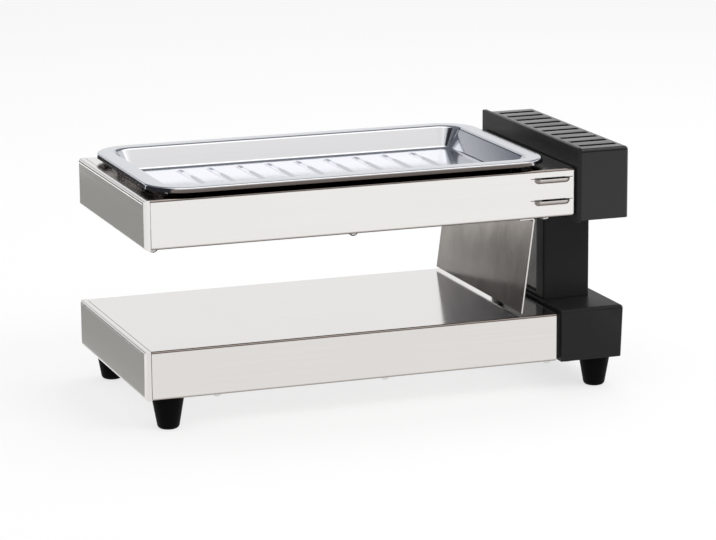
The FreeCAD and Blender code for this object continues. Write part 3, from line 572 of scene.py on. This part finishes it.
outline = (dish_half_x, dish_half_y, dish_corner)
shape = bmesh.new()
chain = [(0, -dish_lip), (dish_flare, 0), (dish_rim, 0), (dish_foot, -dish_depth),
         (dish_corner, -dish_depth)]
verts = [shape.verts.new((-floor_x, inset - dish_half_y, z)) for inset, z in chain]
edges = [shape.edges.new(pair) for pair in zip(verts, verts[1:])]
sweep = [((1, 0), gaps(columns), (floor_x, -floor_y)),
         ((0, 1), gaps(rows), (floor_x, floor_y)),
         ((-1, 0), gaps(columns)[::-1], (-floor_x, floor_y)),
         ((0, -1), gaps(rows)[::-1], (-floor_x, -floor_y))]
for (along_x, along_y), lengths, centre in sweep:
    for length in lengths:
        made = bmesh.ops.extrude_edge_only(shape, edges=edges)["geom"]
        verts = [part for part in made if isinstance(part, bmesh.types.BMVert)]
        edges = [part for part in made if isinstance(part, bmesh.types.BMEdge)]
        bmesh.ops.translate(shape, verts=verts, vec=(along_x * length, along_y * length, 0))
    turned = bmesh.ops.spin(shape, geom=verts + edges, cent=(*centre, 0), axis=(0, 0, 1),
                            angle=math.radians(90), steps=turn_steps, use_merge=False)["geom_last"]
    verts = [part for part in turned if isinstance(part, bmesh.types.BMVert)]
    edges = [part for part in turned if isinstance(part, bmesh.types.BMEdge)]
print("dish wall", len(shape.faces), "faces")


# %% Floor of the dish
def soft(share):
    """A step from 0 to 1 with no corner at either end."""
    share = min(max(share, 0.0), 1.0)
    return share * share * (3 - 2 * share)


def pressed(x, y):
    """Height of the grooved floor."""
    across = max(groove_half - abs(x - middle) for middle in middles)
    return -groove_depth * soft(across / groove_slope) * soft((floor_y - abs(y)) / groove_ramp)


made = bmesh.ops.create_grid(shape, x_segments=len(columns) - 1, y_segments=len(rows) - 1,
                             size=0.5)["verts"]
for vert in made:
    x = columns[round((vert.co.x + 0.5) * (len(columns) - 1))]
    y = rows[round((vert.co.y + 0.5) * (len(rows) - 1))]
    vert.co = (x, y, pressed(x, y) - dish_depth)
bmesh.ops.remove_doubles(shape, verts=shape.verts, dist=weld)
print("dish", len(shape.faces), "faces,", sum(edge.is_boundary for edge in shape.edges), "at the lip")

# %% Folds of the dish
lip_fold = 1.4 * mm
rim_fold = 1.9 * mm
foot_fold = 2.2 * mm
fold_segments = 6
for inset, z, offset in ((dish_flare, 0, lip_fold), (dish_rim, 0, rim_fold),
                         (dish_foot, -dish_depth, foot_fold)):
    bmesh.ops.bevel(shape, geom=ring_edges(shape, inset, z, outline), offset=offset, offset_type="OFFSET",
                    segments=fold_segments, profile=0.5, affect="EDGES", material=-1, clamp_overlap=False)
bmesh.ops.recalc_face_normals(shape, faces=shape.faces)
if sum(face.normal.z * face.calc_area() for face in shape.faces) < 0:
    bmesh.ops.reverse_faces(shape, faces=shape.faces)
bmesh.ops.translate(shape, verts=shape.verts, vec=(dish_middle.x, dish_middle.y, dish_high.z))
bmesh.ops.solidify(shape, geom=shape.faces[:], thickness=dish_sheet)
dish = finished("dish", shape, "serving_tray")
dish_box = [round(v / mm, 2) for v in (*dish.bound_box[0], *dish.bound_box[6])]
print("dish", len(dish.data.polygons), "faces", dish_box)

# %% [markdown]
# ## Feet
# Each foot is round, so one outline spun once round its axis makes it, with its tip and its top edge
# rounded and a deep bore for the screw.

# %% Feet
foot_tip_radius = 7.8 * mm
foot_bore_radius = 4.0 * mm
foot_bore_depth = 9.0 * mm
foot_tip_round = 2.6 * mm
foot_edge_round = 0.5 * mm
foot_steps = 48
foot_tip_segments = 5
foot_edge_segments = 2
feet = [name for name in frame["nodes"] if name.startswith("foot_") and slots[name] == "black_foot"]
for name in feet:
    low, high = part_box(name)
    radius = (high.x - low.x) / 2
    outline_points = [(0, foot_bore_depth), (foot_bore_radius, foot_bore_depth), (foot_bore_radius, 0),
                      (foot_tip_radius, 0), (radius, high.z), (0, high.z)]
    shape = bmesh.new()
    verts = [shape.verts.new((r, 0, z)) for r, z in outline_points]
    edges = [shape.edges.new(pair) for pair in zip(verts, verts[1:])]
    bmesh.ops.spin(shape, geom=verts + edges, cent=(0, 0, 0), axis=(0, 0, 1), angle=math.radians(360),
                   steps=foot_steps, use_merge=True)
    bmesh.ops.remove_doubles(shape, verts=shape.verts, dist=weld)
    for ring, z, offset, segments in ((foot_tip_radius, 0, foot_tip_round, foot_tip_segments),
                                      (radius, high.z, foot_edge_round, foot_edge_segments)):
        edges = [edge for edge in shape.edges
                 if all(abs(v.co.z - z) < weld and abs(v.co.xy.length - ring) < 10 * weld
                        for v in edge.verts)]
        bmesh.ops.bevel(shape, geom=edges, offset=offset, offset_type="OFFSET", segments=segments,
                        profile=0.5, affect="EDGES", material=-1, clamp_overlap=False)
    bmesh.ops.recalc_face_normals(shape, faces=shape.faces)
    bmesh.ops.translate(shape, verts=shape.verts, vec=((low.x + high.x) / 2, (low.y + high.y) / 2, 0))
    finished(name + "_turned", shape, name)
print("turned", len(feet), "feet")

# %% [markdown]
# ## Black housings
# A moulding has no sharp edge, because neither the tool nor the flow of the plastic allows one. Each of the
# four black housings gets a copy of its frame mesh, joined at its seams and cleared of the lines across its
# flats, whose edges a small bevel then rounds.


# %% Joined copies
flat_within = math.radians(1)
edge_round = 0.45 * mm
edge_segments = 3
edge_sharper_than = math.radians(40)


def joined(node, suffix):
    """A copy of a frame mesh whose faces share their corners, as a new piece."""
    shape = bmesh.new()
    shape.from_mesh(frame["nodes"][node].data)
    bmesh.ops.remove_doubles(shape, verts=shape.verts, dist=weld)
    bmesh.ops.dissolve_limit(shape, angle_limit=flat_within, verts=shape.verts, edges=shape.edges)
    return finished(node + suffix, shape, node)


for node in ("cap_housing", "cap_flange", "lower_housing", "column_cover"):
    piece = joined(node, "_soft")
    soften = piece.modifiers.new("edges", "BEVEL")
    soften.width = edge_round
    soften.segments = edge_segments
    soften.limit_method = "ANGLE"
    soften.angle_limit = edge_sharper_than
    soften.use_clamp_overlap = True
print("softened the black housings")
